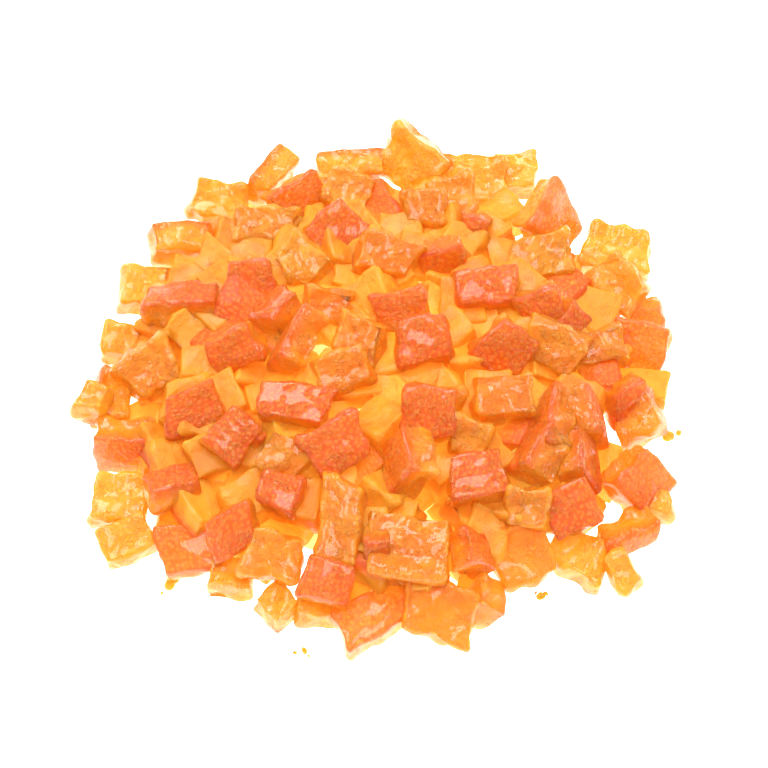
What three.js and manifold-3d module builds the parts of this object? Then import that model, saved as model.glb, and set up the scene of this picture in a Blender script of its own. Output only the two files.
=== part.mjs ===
// A loose heap of diced candied orange peel.
// Millimetres, +Z up, the heap's lowest dice lie on z = 0 and its front looks towards -Y.
import * as THREE from 'three';
import { ConvexGeometry } from 'three/addons/geometries/ConvexGeometry.js';
import { mergeVertices } from 'three/addons/utils/BufferGeometryUtils.js';
import Module from 'manifold-3d';

const wasm = await Module();
wasm.setup();

// Sizes of the dice
const PEEL_THICK = [4.6, 6.2]; // from the zest's skin to the end of the pith
const DICE_LONG = [7.5, 10];
const DICE_WIDE = [7, 9];
const CORNER_SHIFT = 0.12; // how far a corner strays, as a share of the dice's side
const CORNER_CUT = 0.13; // how much of each side is lost to a worn corner
const PITH_SHRINK = [0.84, 1]; // the pith side is cut a little smaller than the zest side
const WEDGE = 0.09; // slope of the pith side against the zest side

// Sizes of the heap
const MIDDLE_Y = 3; // the heap's middle lies a little behind the frame's
const VIEW_ELEVATION = 55; // degrees, the height from which the listed dice were seen
const DOME_RADIUS = 54;
const DOME_RIM = 4; // the height of the seen surface at its rim, and how far it rises from there
const DOME_RISE = 12;
const HALF_PEEL = 2.5;
const NESTLE = 0.5; // share of a dice's footprint that stays clear of what lies under it
const TOP_BAND = [-0.6, 0.9]; // how far a dice on top may lie below and above the seen surface
const COVER_BAND = [-3.4, -1.5]; // the same for the dice between and under them
const BITE = 0.25; // how far the lowest corners sink into the surface, to be cut flat there
const CORE_RADIUS = 41;
const CORE_RISE = 14;
const CORE_SIDES = 28;
const CORE_RINGS = 6;
const CORE_EDGE = 1; // height of the core at its rim, and how far it reaches below z = 0 before it is cut
const SHOWN_SHARE = 0.2; // a dice is kept if it is the topmost over this share of its footprint
const SMALLEST = 0.05; // facets smaller than this are merged with their neighbours

// Height map that the dice come down on
const CELL = 0.5;
const REACH = 70;
const SIDE = (2 * REACH) / CELL;

// Dice that aren't listed: pitch of the rows, radius that they fill, ways tried, lean from flat,
// greatest height, and the band about the seen surface that they are held to
const FLOOR_LAYER = { pitch: 9.2, radius: 46, tries: 1, lean: 10, highest: 5 };
const EDGE_LAYER = { pitch: 6.5, radius: 47, tries: 3, lean: 20, highest: 3.8 };
const COVER_LAYER = { pitch: 7.4, radius: 40, tries: 3, lean: 32, highest: 30, band: COVER_BAND };
const ZEST_UP_SHARE = 0.06;
const GAPS = [[-13, -32], [8, -26], [-2, -40], [-27, -34], [-40, -29], [36, -29]];
const GAP_RADIUS = 5;
const STRAY = 1.3; // how far a dice in a row lies off its place
const SEED = 7;

// Dice seen round the rim and on top, in the order in which they came to lie:
// x, y, where the zest faces, how far up it faces, spin about that, length, width
const RIM = [
  [-20, 52, 150, 15, 0, 9, 9], [-29, 45.5, 90, -65, 10, 11, 8], [-36, 34, 95, 5, 0, 10, 9],
  [-41.5, 24, 120, -75, 30, 10, 8.5], [-45, 11, 90, -80, 15, 7, 6.5], [-46, -1, 180, 20, 0, 9, 7],
  [-48, -4, 90, -85, 10, 6, 5.5], [-42, -11, -90, 10, 0, 10, 8], [-43, -21, 100, -80, 20, 9, 8],
  [-41, -28, 90, -75, -20, 8, 7], [-31, -32, -95, 70, 12, 9.5, 8.5], [-24, -36, 90, -85, 5, 8, 6],
  [-16.3, -41.5, 90, -85, 45, 6.4, 6], [-10, -42, 90, -85, 10, 7, 6.5], [-1, -44, -90, 82, 28, 11.5, 7],
  [10, -42, 90, -60, 20, 12, 10], [17, -40, 0, -50, 0, 7, 6], [23, -33, 100, -60, -15, 10.5, 9.5],
  [33, -32, 90, -85, 30, 9, 7.5], [39.5, -33.5, 90, -70, 60, 6, 4], [41, -27, -70, 25, 10, 9, 4],
  [46, -21, 90, -85, 10, 6, 5], [43, -17, -40, 45, 0, 10, 9], [44, -5, 60, -65, 35, 9, 8],
  [46, 10, -110, 50, 0, 9.5, 9], [47.5, 19.5, -90, 30, 0, 5.5, 4], [43, 25, 60, -60, 20, 11, 8],
  [43.5, 34.5, 90, -75, 12, 12, 8.5], [31, 40, -35, 32, 10, 10, 11], [25, 53, 90, -80, 0, 8, 8],
  [17, 51, 90, -70, 0, 12, 10], [6, 55, 75, -45, 20, 12, 10], [-6, 53, 90, 10, 0, 12, 8],
];
const TOP = [
  [-20, 36, 100, -62, 10, 10, 8], [-6, 45, 90, -65, 20, 8, 7.5], [-14.5, 43.5, -50, 38, 0, 11, 10],
  [-34, 18, 95, 70, 0, 12, 7], [-39, 3, 100, -60, -25, 10, 9], [-22, 21, -100, 50, 15, 8, 6.5],
  [14, 43, 80, -70, -20, 9, 8], [8, 39, 100, -65, 10, 9, 8],
  [17.5, 34.5, -110, 40, 0, 5, 5], [29, 28.8, 90, -65, -10, 13, 9.5], [11, 26, -100, 15, 20, 8, 5],
  [2, 25, 100, -68, 25, 11, 9], [19, 19, -90, 72, 8, 9.5, 7], [-13, 24, 80, -62, 30, 9, 8],
  [-8, 33, -85, 56, 38, 10, 9.5],
  [28, 15, -90, 40, 20, 8, 7], [33, 13, -60, 45, 30, 6.5, 6], [38, 8, 100, -60, 0, 9, 7],
  [30, 6, 80, -60, 15, 10, 8], [22, 5, -90, 40, 50, 8.5, 8], [4, 12, -110, 45, 25, 8.5, 7.5],
  [8, 5, -90, 60, 10, 9.5, 8], [-9, 14, 100, -50, 20, 8, 7], [-17, 12, 140, 55, 0, 8, 6],
  [-24, 5, -110, 40, 40, 9, 7], [-14, 5, 160, 25, 0, 11, 8], [-3, 6, 80, -62, 10, 9, 8],
  [-6, -1, 90, -60, -20, 9, 8], [-31, -6, -80, 50, 10, 9, 8.5], [-24, -12, -70, 68, 30, 8.5, 7.5],
  [-14, -8, -90, 86, -12, 12, 7], [-15, -17, 90, -65, 25, 8, 7], [9, -9, -125, 52, 30, 10, 8],
  [21, -5, 90, -72, 0, 10, 8], [15, -13, 90, -60, 10, 7, 6], [35, -7, 10, 15, 0, 8, 8],
  [29, -9, 170, 25, 0, 11, 8], [42, -2, -60, 30, 0, 7, 6], [-6, -16, -90, 55, 30, 10, 8.5],
  [4.5, -19, 190, 30, 0, 10, 9], [16, -21, -90, 80, 10, 9.5, 7], [26, -16, 150, 35, 0, 10, 8],
  [33, -15, 0, 30, 0, 9, 8], [-33.5, -20.5, 95, 70, 15, 8, 5.5], [-17, -34, 95, -62, 15, 10, 8],
  [-23, -29, -100, 45, 30, 8, 7.5], [-6, -28, 60, -68, 70, 14, 7], [-16, -23.5, -90, 78, -20, 7.5, 6.5],
  [5, -32, 90, -80, 10, 14, 11], [-7.5, -37.5, -90, 65, -15, 8.5, 7], [24, -25, 90, -60, 0, 8, 7],
  [31, -24, -90, 55, 20, 9, 8], [15, -33, 10, 40, 0, 7, 7], [0, -33, -90, 25, 0, 4.5, 7],
];

const radians = THREE.MathUtils.degToRad;

// Seeded draws, the same on every run
let state = SEED;
function between(low, high) {
  state = (state * 1664525 + 1013904223) % 2 ** 32;
  return low + ((high - low) * state) / 2 ** 32;
}

// A dice's own axes: along its length, across it, and out of its zest
function diceAxes(turn, up, spin) {
  const [t, e, s] = [turn, up, spin].map(radians);
  const zest = new THREE.Vector3(Math.cos(e) * Math.cos(t), Math.cos(e) * Math.sin(t), Math.sin(e));
  const level = new THREE.Vector3(-Math.sin(t), Math.cos(t), 0);
  const rise = zest.clone().cross(level);
  const mix = (a, b) => level.clone().multiplyScalar(a).addScaledVector(rise, b);
  return [mix(Math.cos(s), Math.sin(s)), mix(-Math.sin(s), Math.cos(s)), zest];
}

// One dice: its size, its axes and the unevenness of its cut
function newDice(x, y, turn, up, spin, long, wide) {
  const half = [long / 2, wide / 2, between(...PEEL_THICK) / 2];
  const shifts = Array.from({ length: 8 }, () => between(-CORNER_SHIFT, CORNER_SHIFT));
  const shrink = between(...PITH_SHRINK);
  const wedge = [between(-WEDGE, WEDGE), between(-WEDGE, WEDGE)];
  return { x, y, seen: y, axes: diceAxes(turn, up, spin), half, shifts, shrink, wedge };
}

// The height map's cells under a dice, with its lowest and highest height over each
function columns(dice) {
  const reach = ['x', 'y'].map((w) =>
    dice.axes.reduce((sum, axis, k) => sum + Math.abs(axis[w]) * dice.half[k], 0));
  const first = (at, r) => Math.floor((at - r + REACH) / CELL);
  const last = (at, r) => Math.ceil((at + r + REACH) / CELL);
  const cells = [];
  for (let i = first(dice.x, reach[0]); i <= last(dice.x, reach[0]); i++) {
    for (let j = first(dice.y, reach[1]); j <= last(dice.y, reach[1]); j++) {
      const dx = (i + 0.5) * CELL - REACH - dice.x;
      const dy = (j + 0.5) * CELL - REACH - dice.y;
      let [low, high] = [-1e9, 1e9];
      dice.axes.forEach((axis, k) => {
        const flat = axis.x * dx + axis.y * dy;
        const slope = Math.abs(axis.z) > 1e-6 ? axis.z : 1e-6;
        const [s, t] = [(-dice.half[k] - flat) / slope, (dice.half[k] - flat) / slope];
        low = Math.max(low, Math.min(s, t));
        high = Math.min(high, Math.max(s, t));
      });
      if (low < high) cells.push({ at: i * SIDE + j, low, high });
    }
  }
  return cells;
}

const ground = new Float64Array(SIDE * SIDE);
const owner = new Int32Array(SIDE * SIDE).fill(-1);
const heap = [];

// Height at which the middle of a dice was seen over a spot
function seenHeight(x, y) {
  const far = (x ** 2 + y ** 2) / DOME_RADIUS ** 2;
  return DOME_RIM + DOME_RISE * Math.max(0, 1 - far) - HALF_PEEL;
}

// Height of a dice's middle once it has come down
function restHeight(dice, band) {
  const gaps = columns(dice).map((c) => ground[c.at] - c.low).sort((a, b) => a - b);
  const standing = dice.axes.reduce((sum, axis, k) => sum + Math.abs(axis.z) * dice.half[k], -BITE);
  let height = gaps[Math.floor(NESTLE * gaps.length)];
  if (band) {
    const seen = seenHeight(dice.x, dice.seen);
    height = Math.min(Math.max(height, seen + band[0]), seen + band[1]);
  }
  return Math.max(height, standing);
}

function drop(dice, band) {
  dice.z = restHeight(dice, band);
  const cells = columns(dice);
  dice.footprint = cells.length;
  for (const c of cells) {
    if (dice.z + c.high <= ground[c.at]) continue;
    ground[c.at] = dice.z + c.high;
    owner[c.at] = heap.length;
  }
  heap.push(dice);
}

// Moves a dice along the line of sight, so that it covers the spot where it was seen, and drops it
function dropWhereSeen(row, band) {
  const dice = newDice(...row);
  for (let pass = 0; pass < 2; pass++) {
    const lift = restHeight(dice, band) - seenHeight(dice.x, dice.seen);
    dice.y = dice.seen - lift / Math.tan(radians(VIEW_ELEVATION));
  }
  drop(dice, band);
}

// Rows of dice within a circle, each turned the way that lets it lie lowest
function scatter({ pitch, radius, tries, lean, highest, band }) {
  const rowPitch = pitch * Math.cos(radians(30));
  const rows = Math.floor(radius / rowPitch) + 1;
  for (let row = -rows; row <= rows; row++) {
    for (let col = -rows; col <= rows; col++) {
      const x = (col + 0.5 * Math.abs(row % 2)) * pitch + between(-STRAY, STRAY);
      const y = row * rowPitch + between(-STRAY, STRAY) + MIDDLE_Y;
      const size = [between(...DICE_LONG), between(...DICE_WIDE)];
      const ways = Array.from({ length: tries }, () => {
        const up = (90 - between(0, lean)) * (between(0, 1) < ZEST_UP_SHARE ? 1 : -1);
        return newDice(x, y, between(0, 360), up, 0, ...size);
      });
      if (Math.hypot(x, y - MIDDLE_Y) > radius) continue;
      if (GAPS.some((gap) => Math.hypot(x - gap[0], y - gap[1]) < GAP_RADIUS)) continue;
      const heights = ways.map((way) => restHeight(way));
      const lowest = Math.min(...heights);
      if (lowest <= highest) drop(ways[heights.indexOf(lowest)], band);
    }
  }
}

for (const row of RIM) dropWhereSeen(row);
for (const layer of [FLOOR_LAYER, EDGE_LAYER, COVER_LAYER]) scatter(layer);
for (const row of TOP) dropWhereSeen(row, TOP_BAND);

// The eight outline points of one side of a dice, four uneven corners each worn to two points
function ring(dice, side) {
  const corners = [[-1, -1], [1, -1], [1, 1], [-1, 1]].map(([a, b], k) => [
    dice.half[0] * (a + 2 * dice.shifts[2 * k]), dice.half[1] * (b + 2 * dice.shifts[2 * k + 1])]);
  const scale = side > 0 ? 1 : dice.shrink;
  return corners.flatMap((corner, k) => [corners[(k + 3) % 4], corners[(k + 1) % 4]].map((next) => {
    const [a, b] = [0, 1].map((w) => scale * (corner[w] + CORNER_CUT * (next[w] - corner[w])));
    const slope = side > 0 ? 0 : dice.wedge[0] * a + dice.wedge[1] * b;
    return new THREE.Vector3(dice.x, dice.y, dice.z).addScaledVector(dice.axes[0], a)
      .addScaledVector(dice.axes[1], b).addScaledVector(dice.axes[2], side * dice.half[2] + slope);
  }));
}

// A closed solid, ready to be joined, from a three.js geometry
function toSolid(geometry) {
  const bare = geometry.clone();
  for (const name of Object.keys(bare.attributes)) if (name !== 'position') bare.deleteAttribute(name);
  const merged = mergeVertices(bare, 1e-4);
  return new wasm.Manifold(new wasm.Mesh({
    numProp: 3,
    vertProperties: Float32Array.from(merged.attributes.position.array),
    triVerts: Uint32Array.from(merged.index.array),
  }));
}

// The body of the heap under the dice that show: a low dome, cut flat underneath
function coreSolid() {
  const profile = [new THREE.Vector2(0, -CORE_EDGE), new THREE.Vector2(CORE_RADIUS, -CORE_EDGE)];
  for (let k = 0; k <= CORE_RINGS; k++) {
    const r = CORE_RADIUS * (1 - k / CORE_RINGS);
    profile.push(new THREE.Vector2(r, CORE_EDGE + CORE_RISE * (1 - (r / CORE_RADIUS) ** 2)));
  }
  const dome = new THREE.LatheGeometry(profile, CORE_SIDES).rotateX(Math.PI / 2).translate(0, MIDDLE_Y, 0);
  return toSolid(dome);
}

// The dice that show, joined with the core, without sealed hollows or loose scraps
function heapGeometry() {
  const tops = new Array(heap.length).fill(0);
  for (const k of owner) if (k >= 0) tops[k]++;
  const shown = heap.filter((dice, k) => tops[k] > SHOWN_SHARE * dice.footprint);
  const solids = shown.map((d) => toSolid(new ConvexGeometry([...ring(d, 1), ...ring(d, -1)])));
  const joined = wasm.Manifold.union([coreSolid(), ...solids]).trimByPlane([0, 0, 1], 0);
  const bodies = joined.simplify(SMALLEST).decompose().sort((a, b) => b.volume() - a.volume());
  const mesh = bodies[0].getMesh();
  const geometry = new THREE.BufferGeometry();
  geometry.setAttribute('position', new THREE.BufferAttribute(mesh.vertProperties, mesh.numProp));
  geometry.setIndex(new THREE.BufferAttribute(mesh.triVerts, 1));
  geometry.computeVertexNormals();
  return geometry;
}

const peel = new THREE.MeshStandardMaterial({ color: 0xf28a35, roughness: 0.3, metalness: 0, flatShading: true });
const peelHeap = new THREE.Mesh(heapGeometry(), peel);
peelHeap.name = 'peel_heap';

const group = new THREE.Group();
group.add(peelHeap);

export default group;
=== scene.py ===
"""Looks of a loose heap of diced candied orange peel. The heap's front looks towards -Y.

Places and sizes of the dice are in millimetres, as they were measured, and every mesh is made in metres.
"""
import math

import bpy
import numpy as np
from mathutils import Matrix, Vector


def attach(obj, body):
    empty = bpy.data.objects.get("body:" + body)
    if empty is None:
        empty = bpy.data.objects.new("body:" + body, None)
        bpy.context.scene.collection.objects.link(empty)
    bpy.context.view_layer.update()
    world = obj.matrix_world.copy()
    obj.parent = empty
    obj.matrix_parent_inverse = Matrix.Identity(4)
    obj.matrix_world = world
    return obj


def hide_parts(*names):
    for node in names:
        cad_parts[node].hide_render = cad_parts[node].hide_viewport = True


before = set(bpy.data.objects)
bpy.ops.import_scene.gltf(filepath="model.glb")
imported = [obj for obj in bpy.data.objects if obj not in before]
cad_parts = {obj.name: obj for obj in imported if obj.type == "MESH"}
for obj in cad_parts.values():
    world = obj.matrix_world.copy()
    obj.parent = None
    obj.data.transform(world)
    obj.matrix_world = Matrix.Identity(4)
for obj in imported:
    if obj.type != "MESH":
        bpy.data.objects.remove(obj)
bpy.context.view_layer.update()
MM = 0.001

# Sizes of the dice
PEEL_THICK = (4.6, 6.2)  # from the zest's skin to the end of the pith
DICE_LONG = (7.5, 10)
DICE_WIDE = (7, 9)
CORNER_SHIFT = 0.12  # how far a corner strays, as a share of the dice's side
PITH_SHRINK = (0.84, 1)  # the pith side is cut a little smaller than the zest side
WEDGE = 0.09  # slope of the pith side against the zest side

# Sizes of the heap
MIDDLE_Y = 3  # the heap's middle lies a little behind the frame's
DOME_RADIUS = 54
DOME_RIM = 4  # height of the seen surface at its rim, and how far it rises from there
DOME_RISE = 12
HALF_PEEL = 2.5
NESTLE = 0.5  # share of a dice's footprint that stays clear of what lies under it
TOP_BAND = (-0.6, 0.9)  # how far a dice on top may lie below and above the seen surface
COVER_BAND = (-3.4, -1.5)  # the same for the dice between and under them
BITE = 0.25  # how far the lowest corners sink into the surface

# Height map that the dice come down on
CELL = 0.5
REACH = 70
SIDE = int(2 * REACH / CELL)

# Dice that aren't listed: pitch of the rows, radius that they fill, ways tried, lean from flat,
# greatest height, and the band about the seen surface that they are held to
LAYERS = (
    dict(pitch=9.2, radius=46, tries=1, lean=10, highest=5),
    dict(pitch=6.5, radius=47, tries=3, lean=20, highest=3.8),
    dict(pitch=7.4, radius=40, tries=3, lean=32, highest=30, band=COVER_BAND),
)
ZEST_UP_SHARE = 0.06
GAPS = ((-13, -32), (8, -26), (-2, -40), (-27, -34), (-40, -29), (36, -29))
GAP_RADIUS = 5
STRAY = 1.3  # how far a dice in a row lies off its place
SEED = 7

# The camera, as the photograph was taken
VIEW_ELEVATION = 55
LENS, SENSOR = 90, 36
SEEN_WIDTH = 132  # millimetres across the picture at the heap
AIM = (1.0, 1.5, 6.0)

# The table, the lights and the studio
TABLE_SIZE = 6  # metres
TABLE_GLOW, STUDIO_GLOW = 2.2, 0.5
LIGHTS = (  # name, place in metres, size in metres, power in watts
    ("softbox_back", (-0.15, 0.5, 0.75), 0.35, 5),
    ("softbox_left", (-0.6, 0.15, 0.75), 0.3, 3),
    ("softbox_right", (0.6, 0.25, 0.7), 0.3, 3),
    ("softbox_top", (0.05, -0.15, 1), 0.35, 4),
)
DIFFUSE_BOUNCES = 9  # enough for the light to find its way up between the dice

# Dice seen round the rim and on top, in the order in which they came to lie:
# x, y, where the zest faces, how far up it faces, spin about that, length, width, and how amber it is
RIM = (
    (-20, 52, 150, 15, 0, 9, 9, 0.3), (-29, 45.5, 90, -65, 10, 11, 8, 0.4),
    (-36, 34, 95, 5, 0, 10, 9, 0.3), (-41.5, 24, 120, -75, 30, 10, 8.5, 0.1),
    (-45, 11, 90, -80, 15, 7, 6.5, 0), (-46, -1, 180, 20, 0, 9, 7, 0.2),
    (-48, -4, 90, -85, 10, 6, 5.5, 0), (-42, -11, -90, 10, 0, 10, 8, 0.6),
    (-43, -21, 100, -80, 20, 9, 8, 0.1), (-41, -28, 90, -75, -20, 8, 7, 0.1),
    (-31, -32, -95, 70, 12, 9.5, 8.5, 0.4), (-24, -36, 90, -85, 5, 8, 6, 0.3),
    (-16.3, -41.5, 90, -85, 45, 6.4, 6, 0.1), (-10, -42, 90, -85, 10, 7, 6.5, 0.1),
    (-1, -44, -90, 82, 28, 11.5, 7, 0.4), (10, -42, 90, -60, 20, 12, 10, 0.8),
    (17, -40, 0, -50, 0, 7, 6, 0.7), (23, -33, 100, -60, -15, 10.5, 9.5, 0.8),
    (33, -32, 90, -85, 30, 9, 7.5, 0.1), (39.5, -33.5, 90, -70, 60, 6, 4, 0.2),
    (41, -27, -70, 25, 10, 9, 4, 0.7), (46, -21, 90, -85, 10, 6, 5, 0), (43, -17, -40, 45, 0, 10, 9, 0.7),
    (44, -5, 60, -65, 35, 9, 8, 0.7), (46, 10, -110, 50, 0, 9.5, 9, 0.6),
    (47.5, 19.5, -90, 30, 0, 5.5, 4, 0.4), (43, 25, 60, -60, 20, 11, 8, 0.5),
    (43.5, 34.5, 90, -75, 12, 12, 8.5, 0), (31, 40, -35, 32, 10, 10, 11, 0.2),
    (25, 53, 90, -80, 0, 8, 8, 0), (17, 51, 90, -70, 0, 12, 10, 0), (6, 55, 75, -45, 20, 12, 10, 0.25),
    (-6, 53, 90, 10, 0, 12, 8, 0.1),
)
TOP = (
    (-20, 36, 100, -62, 10, 10, 8, 0.5), (-6, 45, 90, -65, 20, 8, 7.5, 0.3),
    (-14.5, 43.5, -50, 38, 0, 11, 10, 0.3), (-34, 18, 95, 70, 0, 12, 7, 0.3),
    (-39, 3, 100, -60, -25, 10, 9, 0.6), (-22, 21, -100, 50, 15, 8, 6.5, 0.5),
    (14, 43, 80, -70, -20, 9, 8, 0.5), (8, 39, 100, -65, 10, 9, 8, 0.7),
    (17.5, 34.5, -110, 40, 0, 5, 5, 0.6), (29, 28.8, 90, -65, -10, 13, 9.5, 0.2),
    (11, 26, -100, 15, 20, 8, 5, 0.8), (2, 25, 100, -68, 25, 11, 9, 0.8),
    (19, 19, -90, 72, 8, 9.5, 7, 0.6), (-13, 24, 80, -62, 30, 9, 8, 0.3),
    (-8, 33, -85, 56, 38, 10, 9.5, 0.5), (28, 15, -90, 40, 20, 8, 7, 0.6),
    (33, 13, -60, 45, 30, 6.5, 6, 0.9), (38, 8, 100, -60, 0, 9, 7, 0.6), (30, 6, 80, -60, 15, 10, 8, 0.7),
    (22, 5, -90, 40, 50, 8.5, 8, 0.5), (4, 12, -110, 45, 25, 8.5, 7.5, 0.6),
    (8, 5, -90, 60, 10, 9.5, 8, 0.7), (-9, 14, 100, -50, 20, 8, 7, 1), (-17, 12, 140, 55, 0, 8, 6, 0.7),
    (-24, 5, -110, 40, 40, 9, 7, 0.6), (-14, 5, 160, 25, 0, 11, 8, 0.7), (-3, 6, 80, -62, 10, 9, 8, 0.7),
    (-6, -1, 90, -60, -20, 9, 8, 0.7), (-31, -6, -80, 50, 10, 9, 8.5, 0.6),
    (-24, -12, -70, 68, 30, 8.5, 7.5, 0.8), (-14, -8, -90, 86, -12, 12, 7, 0.8),
    (-15, -17, 90, -65, 25, 8, 7, 0.7), (9, -9, -125, 52, 30, 10, 8, 0.7),
    (21, -5, 90, -72, 0, 10, 8, 0.9), (15, -13, 90, -60, 10, 7, 6, 0.6), (35, -7, 10, 15, 0, 8, 8, 0.9),
    (29, -9, 170, 25, 0, 11, 8, 0.8), (42, -2, -60, 30, 0, 7, 6, 0.7),
    (-6, -16, -90, 55, 30, 10, 8.5, 0.9), (4.5, -19, 190, 30, 0, 10, 9, 0.6),
    (16, -21, -90, 80, 10, 9.5, 7, 0.8), (26, -16, 150, 35, 0, 10, 8, 0.7),
    (33, -15, 0, 30, 0, 9, 8, 0.8), (-33.5, -20.5, 95, 70, 15, 8, 5.5, 0.5),
    (-17, -34, 95, -62, 15, 10, 8, 0.6), (-23, -29, -100, 45, 30, 8, 7.5, 1),
    (-6, -28, 60, -68, 70, 14, 7, 0.6), (-16, -23.5, -90, 78, -20, 7.5, 6.5, 0.8),
    (5, -32, 90, -80, 10, 14, 11, 0.6), (-7.5, -37.5, -90, 65, -15, 8.5, 7, 0.5),
    (24, -25, 90, -60, 0, 8, 7, 0.7), (31, -24, -90, 55, 20, 9, 8, 0.7), (15, -33, 10, 40, 0, 7, 7, 0.8),
    (0, -33, -90, 25, 0, 4.5, 7, 0.9),
)

ZEST_UP, PITH_UP = 35, -45  # how far up the zest faces where it, or where the pith, counts as on top

# How finely the meshes are made, and how uneven they are, in millimetres
FINE, COARSE = 0.5, 2.0
WORN = (0.45, 0.8)  # radius of the worn edges
CURL = 0.5  # how far the middle of a dice stands above its corners, as the fruit was round
LUMPS = ((5, 0.24), (2.2, 0.07))  # length and height of the lumps
WAVES = 7  # sine waves that make up the lumps, and the spread of their lengths
WAVE_SPREAD = (0.75, 1.4)
WAVE_SUM = 2.6  # what their sum is divided by, to lie between about -1 and 1
ZEST_LUMPS, PITH_LUMPS = 0.6, 1.4  # share of the lumps' height on the zest and on the pith
SIDE_LUMPS = 0.8  # share added on the cut sides, which makes the outlines uneven
GLAND_PITCH = 0.85
CLEARANCE = 0.02  # least height of a mesh over the surface
PLAIN_AMBER = (0, 0.5)  # how amber a dice is that isn't listed
AMBER_STRAY = 0.08
SMOOTHINGS = 8  # rounds of smoothing of the height map, each over a few cells
SMOOTH_CELLS = 2

# The mass inside the heap, which gives light by a painted glow
CORE_RADIUS, CORE_RISE = 33, 10.5
CORE_RINGS, CORE_SPOKES = 16, 48
CORE_EDGE, CORE_FLOOR = 0.1, 0.05  # heights of its rim and of its underside
CORE_LUMPS = (6, 0.4)  # length and height
CORE_DEPTH, CORE_TONE = 6.0, 0.1
CORE_SEED = 1

# Crumbs beside the heap
CRUMBS = ((50.6, -5.9), (-11.6, -46.8), (-34.1, -34.7), (26.5, -37), (-49.5, 14), (-27, 50.5))
CRUMBS_EACH = 3
CRUMB_STRAY = 1.8
CRUMB_SIZE = (0.5, 1.1)
CRUMB_HALF = 0.35  # half its thickness, which is also how high its middle lies
CRUMB_WORN = 0.25
CRUMB_STEP = 0.25
CRUMB_SEED, CRUMB_MESH_SEED = 3, 1000
CRUMB_AMBER = 0.1
PAST_ZEST = 4  # depth below the zest at which a crumb's material starts


class Draws:
    """Seeded draws, the same on every run."""

    def __init__(self, seed):
        self.state = seed

    def between(self, low, high):
        self.state = (self.state * 1664525 + 1013904223) % 2**32
        return low + (high - low) * self.state / 2**32


def dice_axes(turn, up, spin):
    """A dice's own axes: along its length, across it, and out of its zest."""
    t, e, s = (math.radians(a) for a in (turn, up, spin))
    zest = np.array([math.cos(e) * math.cos(t), math.cos(e) * math.sin(t), math.sin(e)])
    level = np.array([-math.sin(t), math.cos(t), 0])
    rise = np.cross(zest, level)
    return np.array([
        level * math.cos(s) + rise * math.sin(s), rise * math.cos(s) - level * math.sin(s), zest,
    ])


def new_dice(draws, x, y, turn, up, spin, long, wide, amber=None):
    """One dice: its size, its axes and the unevenness of its cut."""
    half = np.array([long, wide, draws.between(*PEEL_THICK)]) / 2
    shifts = [draws.between(-CORNER_SHIFT, CORNER_SHIFT) for _ in range(8)]
    shrink = draws.between(*PITH_SHRINK)
    wedge = [draws.between(-WEDGE, WEDGE) for _ in range(2)]
    return dict(x=x, y=y, seen=y, axes=dice_axes(turn, up, spin), up=up, half=half,
                shifts=shifts, shrink=shrink, wedge=wedge, amber=amber)


def seen_height(x, y):
    """Height at which the middle of a dice was seen over a spot."""
    far = (x**2 + y**2) / DOME_RADIUS**2
    return DOME_RIM + DOME_RISE * max(0, 1 - far) - HALF_PEEL


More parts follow.
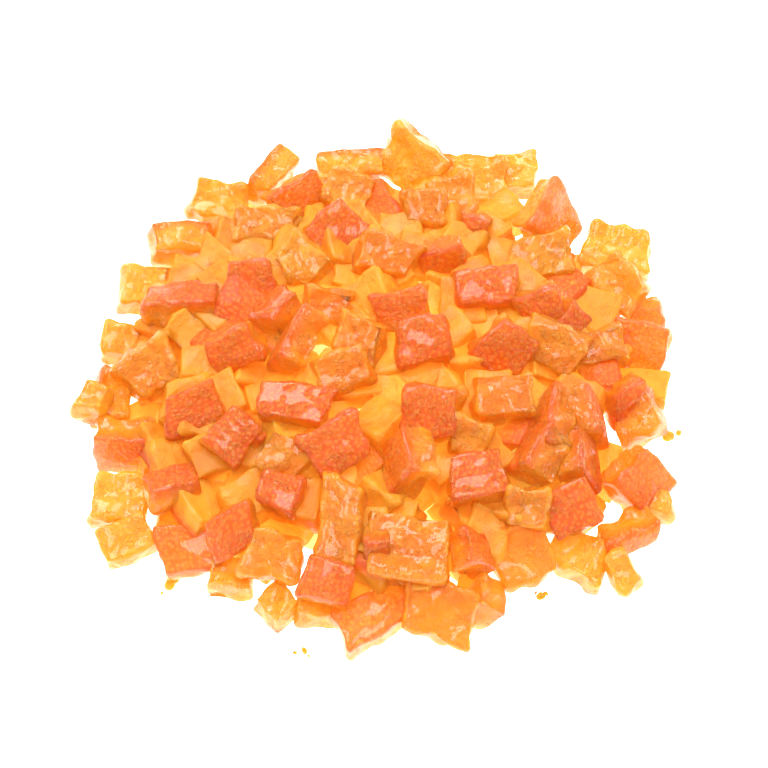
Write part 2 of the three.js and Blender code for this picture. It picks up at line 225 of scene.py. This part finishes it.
class Heap:
    """Dice that come down one after another onto a height map."""

    def __init__(self):
        self.draws = Draws(SEED)
        self.ground = np.zeros((SIDE, SIDE))
        self.dice = []
        for row in RIM:
            self.drop_where_seen(row)
        for layer in LAYERS:
            self.scatter(**layer)
        for row in TOP:
            self.drop_where_seen(row, TOP_BAND)

    def columns(self, dice):
        """The height map's cells under a dice, with its lowest and highest height over each."""
        middle = np.array([dice["x"], dice["y"]])
        reach = np.abs(dice["axes"][:, :2] * dice["half"][:, None]).sum(0)
        first = np.floor((middle - reach + REACH) / CELL).astype(int)
        last = np.ceil((middle + reach + REACH) / CELL).astype(int)
        i, j = np.meshgrid(*(np.arange(a, b + 1) for a, b in zip(first, last)), indexing="ij")
        i, j = i.ravel(), j.ravel()
        low, high = np.full(i.shape, -1e9), np.full(i.shape, 1e9)
        for axis, half in zip(dice["axes"], dice["half"]):
            flat = axis[0] * ((i + 0.5) * CELL - REACH - middle[0])
            flat = flat + axis[1] * ((j + 0.5) * CELL - REACH - middle[1])
            slope = axis[2] if abs(axis[2]) > 1e-6 else 1e-6
            s, t = (-half - flat) / slope, (half - flat) / slope
            low, high = np.maximum(low, np.minimum(s, t)), np.minimum(high, np.maximum(s, t))
        on = low < high
        return i[on], j[on], low[on], high[on]

    def rest_height(self, dice, band=None):
        """Height of a dice's middle once it has come down."""
        i, j, low, _ = self.columns(dice)
        gaps = np.sort(self.ground[i, j] - low)
        standing = np.abs(dice["axes"][:, 2] * dice["half"]).sum() - BITE
        height = gaps[int(NESTLE * len(gaps))]
        if band:
            seen = seen_height(dice["x"], dice["seen"])
            height = min(max(height, seen + band[0]), seen + band[1])
        return max(height, standing)

    def drop(self, dice, band=None):
        dice["z"] = self.rest_height(dice, band)
        i, j, _, high = self.columns(dice)
        self.ground[i, j] = np.maximum(self.ground[i, j], dice["z"] + high)
        self.dice.append(dice)

    def drop_where_seen(self, row, band=None):
        """Moves a dice along the line of sight, so that it covers the spot where it was seen."""
        dice = new_dice(self.draws, *row)
        for _ in range(2):
            lift = self.rest_height(dice, band) - seen_height(dice["x"], dice["seen"])
            dice["y"] = dice["seen"] - lift / math.tan(math.radians(VIEW_ELEVATION))
        self.drop(dice, band)

    def scatter(self, pitch, radius, tries, lean, highest, band=None):
        """Rows of dice within a circle, each turned the way that lets it lie lowest."""
        between = self.draws.between
        row_pitch = pitch * math.cos(math.radians(30))
        rows = int(radius / row_pitch) + 1
        for row in range(-rows, rows + 1):
            for col in range(-rows, rows + 1):
                x = (col + 0.5 * (row % 2)) * pitch + between(-STRAY, STRAY)
                y = row * row_pitch + between(-STRAY, STRAY) + MIDDLE_Y
                size = between(*DICE_LONG), between(*DICE_WIDE)
                ways = []
                for _ in range(tries):
                    up = (90 - between(0, lean)) * (1 if between(0, 1) < ZEST_UP_SHARE else -1)
                    ways.append(new_dice(self.draws, x, y, between(0, 360), up, 0, *size))
                if math.hypot(x, y - MIDDLE_Y) > radius:
                    continue
                if any(math.hypot(x - gap[0], y - gap[1]) < GAP_RADIUS for gap in GAPS):
                    continue
                heights = [self.rest_height(way) for way in ways]
                if min(heights) <= highest:
                    self.drop(ways[heights.index(min(heights))], band)


def marks(half, worn, step):
    """Places of the grid lines along one side of a dice, close together at its worn edges."""
    inner = half - worn
    middle = np.linspace(-inner, inner, max(3, round(2 * inner / step)) + 1)
    edge = np.array([0, 0.35, 0.7]) * worn
    return np.concatenate([-half + edge, middle, half - edge[::-1]])


def shell(lines):
    """Points and quads over the six sides of a box, from the grid lines along its three axes."""
    quads = []
    for k in range(3):
        a, b = (k + 1) % 3, (k + 2) % 3
        i, j = np.meshgrid(np.arange(len(lines[a]) - 1), np.arange(len(lines[b]) - 1), indexing="ij")
        for end, turn in ((0, -1), (len(lines[k]) - 1, 1)):
            corners = []
            for di, dj in ((0, 0), (1, 0), (1, 1), (0, 1))[::turn]:
                at = np.zeros((i.size, 3), int)
                at[:, k], at[:, a], at[:, b] = end, i.ravel() + di, j.ravel() + dj
                corners.append(at @ [1, 1000, 1000000])
            quads.append(np.stack(corners, 1))
    codes, quads = np.unique(np.concatenate(quads), return_inverse=True)
    at = codes[:, None] // [1, 1000, 1000000] % 1000
    points = np.stack([lines[k][at[:, k]] for k in range(3)], 1)
    return points, quads.reshape(-1, 4)


def ripples(points, length, random):
    """Smooth uneven heights of about -1 to 1 over points in space."""
    total = np.zeros(len(points))
    for _ in range(WAVES):
        way = random.normal(size=3)
        way *= 2 * math.pi / (length * random.uniform(*WAVE_SPREAD) * np.linalg.norm(way))
        total += np.sin(points @ way + random.uniform(0, 2 * math.pi))
    return total / WAVE_SUM


def lumpy(points, outward, half, random):
    """Pushes a dice's surface in and out, the pith side most."""
    pith = np.clip((half[2] - points[:, 2]) / (2 * half[2]), 0, 1)
    for length, height in LUMPS:
        side = SIDE_LUMPS * (1 - np.abs(outward[:, 2]))
        uneven_share = ZEST_LUMPS + (PITH_LUMPS - ZEST_LUMPS) * pith + side
        push = height * uneven_share * ripples(points, length, random)
        points = points + outward * push[:, None]
    return points


def uneven(points, dice):
    """Gives a box the dice's uneven corners, its smaller sloping pith side and its curl."""
    half = dice["half"]
    u, v = points[:, 0] / half[0], points[:, 1] / half[1]
    pith = (half[2] - points[:, 2]) / (2 * half[2])
    x, y = points[:, 0].copy(), points[:, 1].copy()
    for k, (a, b) in enumerate(((-1, -1), (1, -1), (1, 1), (-1, 1))):
        share = (1 + a * u) * (1 + b * v) / 4
        x += share * 2 * half[0] * dice["shifts"][2 * k]
        y += share * 2 * half[1] * dice["shifts"][2 * k + 1]
    scale = 1 + (dice["shrink"] - 1) * pith
    x, y = x * scale, y * scale
    curl = CURL * (0.5 - (u**2 + v**2) / 2)
    z = points[:, 2] + pith * (dice["wedge"][0] * x + dice["wedge"][1] * y) + curl
    return np.stack([x, y, z], 1)


def dice_mesh(dice, step, random, worn=None):
    """One dice in the heap: points, quads, and what its material needs at each point."""
    half = dice["half"]
    worn = worn or random.uniform(*WORN)
    points, quads = shell([marks(h, worn, step) for h in half])
    inner = np.clip(points, worn - half, half - worn)
    outward = points - inner
    outward /= np.linalg.norm(outward, axis=1)[:, None]
    points = inner + worn * outward
    depth = half[2] - points[:, 2]
    spot = points + random.uniform(-500, 500, 3)
    points = lumpy(uneven(points, dice), outward, half, random)
    placed = points @ dice["axes"] + [dice["x"], dice["y"], dice["z"]]
    placed[:, 2] = np.maximum(placed[:, 2], CLEARANCE)
    amber = dice["amber"] if dice["amber"] is not None else random.uniform(*PLAIN_AMBER)
    tone = np.full(len(points), np.clip(amber + random.uniform(-AMBER_STRAY, AMBER_STRAY), 0, 1))
    edge = np.sort(np.abs(outward), axis=1)[:, 1]
    return placed, quads, depth, spot, tone, edge


def envelope(ground):
    """The heap's height smoothed over a dice's width, to tell how deep a point lies."""
    top = ground
    shifts = (-SMOOTH_CELLS, 0, SMOOTH_CELLS)
    for _ in range(SMOOTHINGS):
        shifted = [np.roll(top, (i, j), (0, 1)) for i in shifts for j in shifts]
        top = np.mean(shifted, axis=0)
    return top


def make_object(name, parts, top, material):
    """Joins meshes of one kind into an object, with the attributes that its material reads."""
    starts = np.cumsum([0] + [len(part[0]) for part in parts])
    points, depth, spot, tone, edge = (np.concatenate([p[k] for p in parts]) for k in (0, 2, 3, 4, 5))
    quads = np.concatenate([part[1] + start for part, start in zip(parts, starts)])
    i, j = ((points[:, k] + REACH) / CELL for k in (0, 1))
    deep = top[i.astype(int), j.astype(int)] - points[:, 2]
    mesh = bpy.data.meshes.new(name)
    mesh.from_pydata(points * MM, [], quads)
    for key, kind, values in (("peel_depth", "FLOAT", depth), ("peel_tone", "FLOAT", tone),
                              ("peel_deep", "FLOAT", deep), ("peel_edge", "FLOAT", edge),
                              ("peel_spot", "FLOAT_VECTOR", spot)):
        field = "vector" if kind == "FLOAT_VECTOR" else "value"
        mesh.attributes.new(key, kind, "POINT").data.foreach_set(field, values.astype(np.float32).ravel())
    mesh.shade_smooth()
    mesh.materials.append(material)
    obj = bpy.data.objects.new(name, mesh)
    bpy.context.collection.objects.link(obj)
    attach(obj, "root")
    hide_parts("peel_heap")


class Nodes:
    """Short ways to add shader nodes to a material."""

    def __init__(self, name):
        self.material = bpy.data.materials.new(name)
        self.material.use_nodes = True
        self.tree = self.material.node_tree
        self.shader = self.tree.nodes["Principled BSDF"]

    def add(self, kind, inputs=(), out=0, **settings):
        node = self.tree.nodes.new(kind)
        for key, value in settings.items():
            setattr(node, key, value)
        for key, value in dict(inputs).items():
            self.plug(node.inputs[key], value)
        return node.outputs[out]

    def plug(self, socket, value):
        if isinstance(value, bpy.types.NodeSocket):
            self.tree.links.new(value, socket)
        else:
            socket.default_value = value

    def shade(self, inputs):
        """Gives the Principled shader its inputs."""
        for key, value in inputs.items():
            self.plug(self.shader.inputs[key], value)

    def attribute(self, name, out="Fac"):
        return self.add("ShaderNodeAttribute", out=out, attribute_name=name)

    def ease(self, value, low, high, to=(0.0, 1.0)):
        inputs = {"Value": value, "From Min": low, "From Max": high, "To Min": to[0], "To Max": to[1]}
        return self.add("ShaderNodeMapRange", inputs, interpolation_type="SMOOTHSTEP")

    def mix(self, share, first, second):
        inputs = {0: share, 6: first, 7: second}
        return self.add("ShaderNodeMix", inputs, out=2, data_type="RGBA")

    def maths(self, operation, first, second):
        return self.add("ShaderNodeMath", {0: first, 1: second}, operation=operation)

    def noise(self, where, per_mm, detail, twist=0.0):
        inputs = {"Vector": where, "Scale": per_mm, "Detail": detail, "Distortion": twist}
        return self.add("ShaderNodeTexNoise", inputs)

    def bump(self, height, distance, strength=1.0, under=None):
        inputs = {"Height": height, "Distance": distance, "Strength": strength}
        if under is not None:
            inputs["Normal"] = under
        return self.add("ShaderNodeBump", inputs)


# Colours of the peel, from the zest's skin down to the end of the pith
ZEST_NET = (0.88, 0.125, 0.018, 1)
ZEST_DOT = (1.0, 0.29, 0.03, 1)
ZEST_EDGE = (0.92, 0.165, 0.016, 1)
PITH_PALE = (0.93, 0.47, 0.035, 1)
PITH_AMBER = (1.0, 0.27, 0.014, 1)
EDGE_LINE = (0.7, 0.085, 0.02, 1)
# syrup and painted highlight: the pale cream of the syrup threads, which also stands in for glints of
# light on them
SYRUP_AND_PAINTED_GLINT = (1.0, 0.5, 0.14, 1)

# Colours of the light in the heap: a glow painted into the peel's colour, emitted glows that are painted
# light, the tint of light through a dice, and the colour of the heap's inside
PAINTED_GLOW = (0.92, 0.62, 0.08, 1)  # painted glow: the colour of peel that lies low, with much light behind it
# painted light: glow that the peel emits in the heap's hollows
PAINTED_HOLLOW_GLOW = (0.88, 0.58, 0.07, 1)
LIGHT_THROUGH = (0.92, 0.57, 0.12, 1)  # the tint of light that has passed through a dice
INSIDE = (1.0, 0.62, 0.14, 1)
# painted light: glow that the heap's inside emits
PAINTED_INSIDE_GLOW = (1.0, 0.68, 0.26, 1)

# Depths below the zest, in millimetres, over which one thing gives way to the next
SKIN_ENDS = (0.15, 0.5)
RIND_ENDS = (0.5, 2.6)
EDGE_LINE_ENDS = (0.5, 1.6)
# depths at which the painted light of the thin pith edges starts
PAINTED_LIT_EDGE_STARTS = (2.0, 4.0)
GLAND_RELIEF_ENDS = (0.1, 0.6)

# Depths below the heap's top over which the painted glow in the colour, and the emitted glow in the
# hollows, come in
PAINTED_GLOW_STARTS = (0.3, 5.0)
HOLLOW_STARTS = (1.0, 5.0)

# Shares of a colour where it is strongest
PAINTED_GLOW_SHARE = 0.9
PAINTED_LIT_EDGE_SHARE = 0.6
EDGE_LINE_SHARE = 0.7
SYRUP_AND_PAINTED_GLINT_SHARE = 0.6
THROUGH_SHARE = 0.45

# Patterns: how many waves to the millimetre, and the values between which each comes in
GLAND_EDGE = (0.2, 0.5)
GLAND_STRAY = 0.8
CLOUDS, CLOUD_DETAIL, CLOUD_RANGE = 0.35, 3.0, (0.3, 0.7)
AMBER_CLOUDS, DEPTH_CLOUDS = 0.25, 0.3  # how far the clouds shift the tone and the depth
WORN_EDGE = (0.05, 0.65)
THREADS, THREAD_DETAIL, THREAD_TWIST, THREAD_HALF = 0.75, 0.5, 1.6, 0.07
PATCHES, PATCH_RANGE = 0.3, (0.4, 0.56)
CRINKLES, CRINKLE_DETAIL, CRINKLE_TWIST = 1.0, 1.5, 1.5
CRINKLES_OUTSIDE = 0.4  # share of the crinkles' height outside the patches
DENTS, DENT_DETAIL, DENT_TWIST = 0.5, 0.5, 0.6
# the light clouds vary the strength of the painted glow in the hollows
LIGHT_CLOUDS, LIGHT_CLOUD_RANGE, LIGHT_CLOUD_SHARES = 0.16, (0.38, 0.62), (0.25, 1.9)

# Heights of the relief in millimetres
THREAD_HEIGHT, CRINKLE_HEIGHT, DENT_HEIGHT, GLAND_HEIGHT = 0.3, 0.5, 0.5, 0.08


def gland_dots(n, spot):
    """Round oil glands, close together all over the zest."""
    inputs = {"Vector": spot, "Scale": 1 / GLAND_PITCH, "Randomness": GLAND_STRAY}
    far = n.add("ShaderNodeTexVoronoi", inputs, voronoi_dimensions="2D")
    return n.ease(far, *GLAND_EDGE, to=(1.0, 0.0))


def peel_colour(n, dot, depth, ragged, clouds):
    """Colour of a dice from zest to pith, with a painted glow where it lies deep in the heap, paler thin
    edges that are painted light shining through them, and a dark line along the zest's.
    """
    tone, deep, edge = (n.attribute("peel_" + key) for key in ("tone", "deep", "edge"))
    zest = n.mix(dot, ZEST_NET, ZEST_DOT)
    amber = n.maths("ADD", tone, n.ease(clouds, *CLOUD_RANGE, to=(-AMBER_CLOUDS, AMBER_CLOUDS)))
    pith = n.mix(n.ease(amber, 0.0, 1.0), PITH_PALE, PITH_AMBER)
    body = n.mix(n.ease(ragged, *RIND_ENDS), ZEST_EDGE, pith)
    colour = n.mix(n.ease(ragged, *SKIN_ENDS), zest, body)
    # painted glow: the deeper a point lies below the heap's top, the more its colour turns to bright
    # yellow, in place of the light that comes up between the dice
    colour = n.mix(n.ease(deep, *PAINTED_GLOW_STARTS, to=(0.0, PAINTED_GLOW_SHARE)), colour, PAINTED_GLOW)
    at_edge = n.ease(edge, *WORN_EDGE)
    # painted light: the worn edges of the pith turn pale, as if light shone through them where they are
    # thin
    thin = n.maths("MULTIPLY", at_edge, n.ease(depth, *PAINTED_LIT_EDGE_STARTS, to=(0.0, PAINTED_LIT_EDGE_SHARE)))
    line = n.maths("MULTIPLY", at_edge, n.ease(depth, *EDGE_LINE_ENDS, to=(EDGE_LINE_SHARE, 0.0)))
    return n.mix(line, n.mix(thin, colour, PITH_PALE), EDGE_LINE)


def syrup_threads(n, spot):
    """Winding threads of dried syrup, and the patches that they lie in."""
    wander = n.noise(spot, THREADS, THREAD_DETAIL, THREAD_TWIST)
    off_line = n.maths("ABSOLUTE", n.maths("SUBTRACT", wander, 0.5), 0.0)
    patches = n.ease(n.noise(spot, PATCHES, 1.0), *PATCH_RANGE)
    return n.maths("MULTIPLY", n.ease(off_line, 0.0, THREAD_HALF, (1.0, 0.0)), patches), patches


def peel_relief(n, spot, dot, ragged, threads, patches, relief):
    """Crinkles, threads, dents and glands, one over another."""
    height = n.ease(patches, 0.0, 1.0, (CRINKLES_OUTSIDE, 1.0))
    crinkles = n.maths("MULTIPLY", n.noise(spot, CRINKLES, CRINKLE_DETAIL, CRINKLE_TWIST), height)
    fine = n.bump(threads, THREAD_HEIGHT * MM, relief, n.bump(crinkles, CRINKLE_HEIGHT * MM, relief))
    dents = n.bump(n.noise(spot, DENTS, DENT_DETAIL, DENT_TWIST), DENT_HEIGHT * MM, relief, fine)
    glands = n.maths("MULTIPLY", dot, n.ease(ragged, *GLAND_RELIEF_ENDS, to=(1.0, 0.0)))
    return n.bump(glands, GLAND_HEIGHT * MM, 1.0, dents)


def peel_material(name, roughness, coat, relief, painted_hollow_glow):
    """Zest with its oil glands on one side, turning to translucent yellow or amber pith, with painted
    glints on the syrup threads and a painted glow that the peel emits in the heap's hollows.
    """
    n = Nodes(name)
    depth, spot = n.attribute("peel_depth"), n.attribute("peel_spot", "Vector")
    dot, clouds = gland_dots(n, spot), n.noise(spot, CLOUDS, CLOUD_DETAIL)
    ragged = n.maths("ADD", depth, n.ease(clouds, *CLOUD_RANGE, to=(-DEPTH_CLOUDS, DEPTH_CLOUDS)))
    threads, patches = syrup_threads(n, spot)
    colour = peel_colour(n, dot, depth, ragged, clouds)
    # syrup and painted highlight: the threads are painted a pale cream that is partly dried syrup and
    # partly glints of light
    colour = n.mix(n.maths("MULTIPLY", threads, SYRUP_AND_PAINTED_GLINT_SHARE * relief), colour, SYRUP_AND_PAINTED_GLINT)
    # painted light: the peel emits a glow in the heap's hollows, in clouds of uneven strength
    cloudy = n.ease(n.noise(spot, LIGHT_CLOUDS, 1.0), *LIGHT_CLOUD_RANGE, to=LIGHT_CLOUD_SHARES)
    lit = n.ease(n.attribute("peel_deep"), *HOLLOW_STARTS, to=(0.0, painted_hollow_glow))
    n.shade({
        "Base Color": colour, "Roughness": roughness, "IOR": 1.48,
        "Normal": peel_relief(n, spot, dot, ragged, threads, patches, relief),
        "Coat Weight": coat, "Coat Roughness": 0.04,
        "Subsurface Weight": 0.7, "Subsurface Radius": (1.0, 0.7, 0.3), "Subsurface Scale": 1.3 * MM,
        "Emission Color": PAINTED_HOLLOW_GLOW, "Emission Strength": n.maths("MULTIPLY", lit, cloudy),
    })
    through = n.add("ShaderNodeBsdfTranslucent", {"Color": LIGHT_THROUGH})
    both = n.add("ShaderNodeMixShader", {0: THROUGH_SHARE, 1: n.shader.outputs[0], 2: through})
    n.plug(n.tree.nodes["Material Output"].inputs["Surface"], both)
    return n.material


def core_material():
    """The heap's inside, which glows by its own emission: painted light in place of the light that comes
    up through it from the table.
    """
    n = Nodes("peel_inside")
    n.shade({"Base Color": INSIDE, "Roughness": 0.5,
             "Emission Color": PAINTED_INSIDE_GLOW, "Emission Strength": 1.0})
    return n.material


def kind_of(dice):
    """Which of the heap's pieces a dice belongs to, by how it lies."""
    if dice["amber"] is None:
        return "peel_dice_lower"
    if dice["up"] > ZEST_UP:
        return "peel_dice_zest_up"
    return "peel_dice_pith_up" if dice["up"] < PITH_UP else "peel_dice_on_edge"


def make_dice(heap, top, glossy, dull):
    """All dice, joined into one object for each way of lying."""
    kinds = {}
    for number, dice in enumerate(heap.dice):
        random = np.random.default_rng(number)
        step = COARSE if dice["amber"] is None else FINE
        kinds.setdefault(kind_of(dice), []).append(dice_mesh(dice, step, random))
    for name, parts in kinds.items():
        make_object(name, parts, top, dull if name == "peel_dice_lower" else glossy)


def make_crumbs(top, material):
    """Tiny bits of pith that have come off and lie on the surface round the heap."""
    draws, parts = Draws(CRUMB_SEED), []
    for number, (x, y) in enumerate(CRUMBS * CRUMBS_EACH):
        stray = 0 if number < len(CRUMBS) else CRUMB_STRAY
        place = x + draws.between(-stray, stray), y + draws.between(-stray, stray)
        size = draws.between(*CRUMB_SIZE), draws.between(*CRUMB_SIZE)
        crumb = new_dice(draws, *place, draws.between(0, 360), -90, 0, *size, amber=CRUMB_AMBER)
        crumb["half"][2] = CRUMB_HALF
        crumb["z"] = CRUMB_HALF
        random = np.random.default_rng(CRUMB_MESH_SEED + number)
        points, quads, depth, *rest = dice_mesh(crumb, CRUMB_STEP, random, CRUMB_WORN)
        parts.append((points, quads, depth + PAST_ZEST, *rest))
    make_object("peel_crumbs", parts, top, material)


def core_points(random):
    """Rings of points from the top of the core down to its rim, and one point under its middle."""
    points = [[0, MIDDLE_Y, CORE_RISE]]
    for ring in range(1, CORE_RINGS + 1):
        share = ring / CORE_RINGS
        for spoke in range(CORE_SPOKES):
            turn, r = 2 * math.pi * spoke / CORE_SPOKES, CORE_RADIUS * ring / CORE_RINGS
            height = CORE_RISE * (1 - share ** 2) + CORE_EDGE
            points.append([r * math.cos(turn), r * math.sin(turn) + MIDDLE_Y, height])
    points.append([0, MIDDLE_Y, CORE_FLOOR])
    points = np.array(points)
    length, rise = CORE_LUMPS
    points[1:-1, 2] += rise * np.abs(ripples(points[1:-1], length, random))
    return points


def core_faces():
    """Triangles round the top and the underside, and quads between the rings."""
    spokes, under = CORE_SPOKES, 1 + CORE_RINGS * CORE_SPOKES
    last = under - spokes
    faces = [[0, 1 + k, 1 + (k + 1) % spokes, 0] for k in range(spokes)]
    for first in range(1, last, spokes):
        for k in range(spokes):
            a, b = first + k, first + (k + 1) % spokes
            faces.append([a, a + spokes, b + spokes, b])
    faces += [[last + (k + 1) % spokes, last + k, under, last + (k + 1) % spokes] for k in range(spokes)]
    return np.array(faces)


def make_core(top):
    """The low mass of small bits that fills the heap's inside."""
    points = core_points(np.random.default_rng(CORE_SEED))
    depth, tone = np.full(len(points), CORE_DEPTH), np.full(len(points), CORE_TONE)
    make_object("peel_core", [(points, core_faces(), depth, points, tone, tone * 0)], top, core_material())


def make_floor():
    """A plain white surface, lit from within a little, as a light table is."""
    bpy.ops.mesh.primitive_plane_add(size=TABLE_SIZE)
    floor = bpy.context.object
    floor.name = "floor"
    n = Nodes("white_table")
    n.shade({"Base Color": (0.9, 0.9, 0.9, 1), "Roughness": 0.8,
             "Emission Color": (1, 1, 1, 1), "Emission Strength": TABLE_GLOW})
    floor.data.materials.append(n.material)


def make_light(name, place, size, power):
    """A soft square light that looks at the heap."""
    data = bpy.data.lights.new(name, "AREA")
    data.size, data.energy = size, power
    light = bpy.data.objects.new(name, data)
    light.location = place
    light.rotation_euler = (-Vector(place)).to_track_quat("-Z", "Y").to_euler()
    bpy.context.collection.objects.link(light)


def make_world():
    """An even white studio all round."""
    world = bpy.data.worlds.new("studio")
    world.use_nodes = True
    world.node_tree.nodes["Background"].inputs["Color"].default_value = (1, 1, 1, 1)
    world.node_tree.nodes["Background"].inputs["Strength"].default_value = STUDIO_GLOW
    bpy.context.scene.world = world


def make_camera():
    """Looks down at the heap from the front, at the photograph's angle."""
    elevation = math.radians(VIEW_ELEVATION)
    away = SEEN_WIDTH / 2 / (SENSOR / 2 / LENS) * MM
    back = Vector((0, -math.cos(elevation), math.sin(elevation)))
    data = bpy.data.cameras.new("camera")
    data.lens, data.sensor_width = LENS, SENSOR
    data.clip_start, data.clip_end = 0.01, 20
    camera = bpy.data.objects.new("camera", data)
    camera.location = Vector(AIM) * MM + back * away
    camera.rotation_euler = (-back).to_track_quat("-Z", "Y").to_euler()
    bpy.context.collection.objects.link(camera)
    bpy.context.scene.camera = camera


heap = Heap()
top = envelope(heap.ground)
glossy = peel_material("candied_peel", roughness=0.28, coat=0.7, relief=1.0, painted_hollow_glow=0.16)
dull = peel_material("candied_peel_below", roughness=0.4, coat=0.15, relief=0.5, painted_hollow_glow=0.28)
make_dice(heap, top, glossy, dull)
make_core(top)
make_crumbs(top, dull)
make_floor()
for light in LIGHTS:
    make_light(*light)
make_world()
make_camera()
bpy.context.scene.cycles.diffuse_bounces = DIFFUSE_BOUNCES
bpy.context.scene.view_settings.view_transform = "Standard"
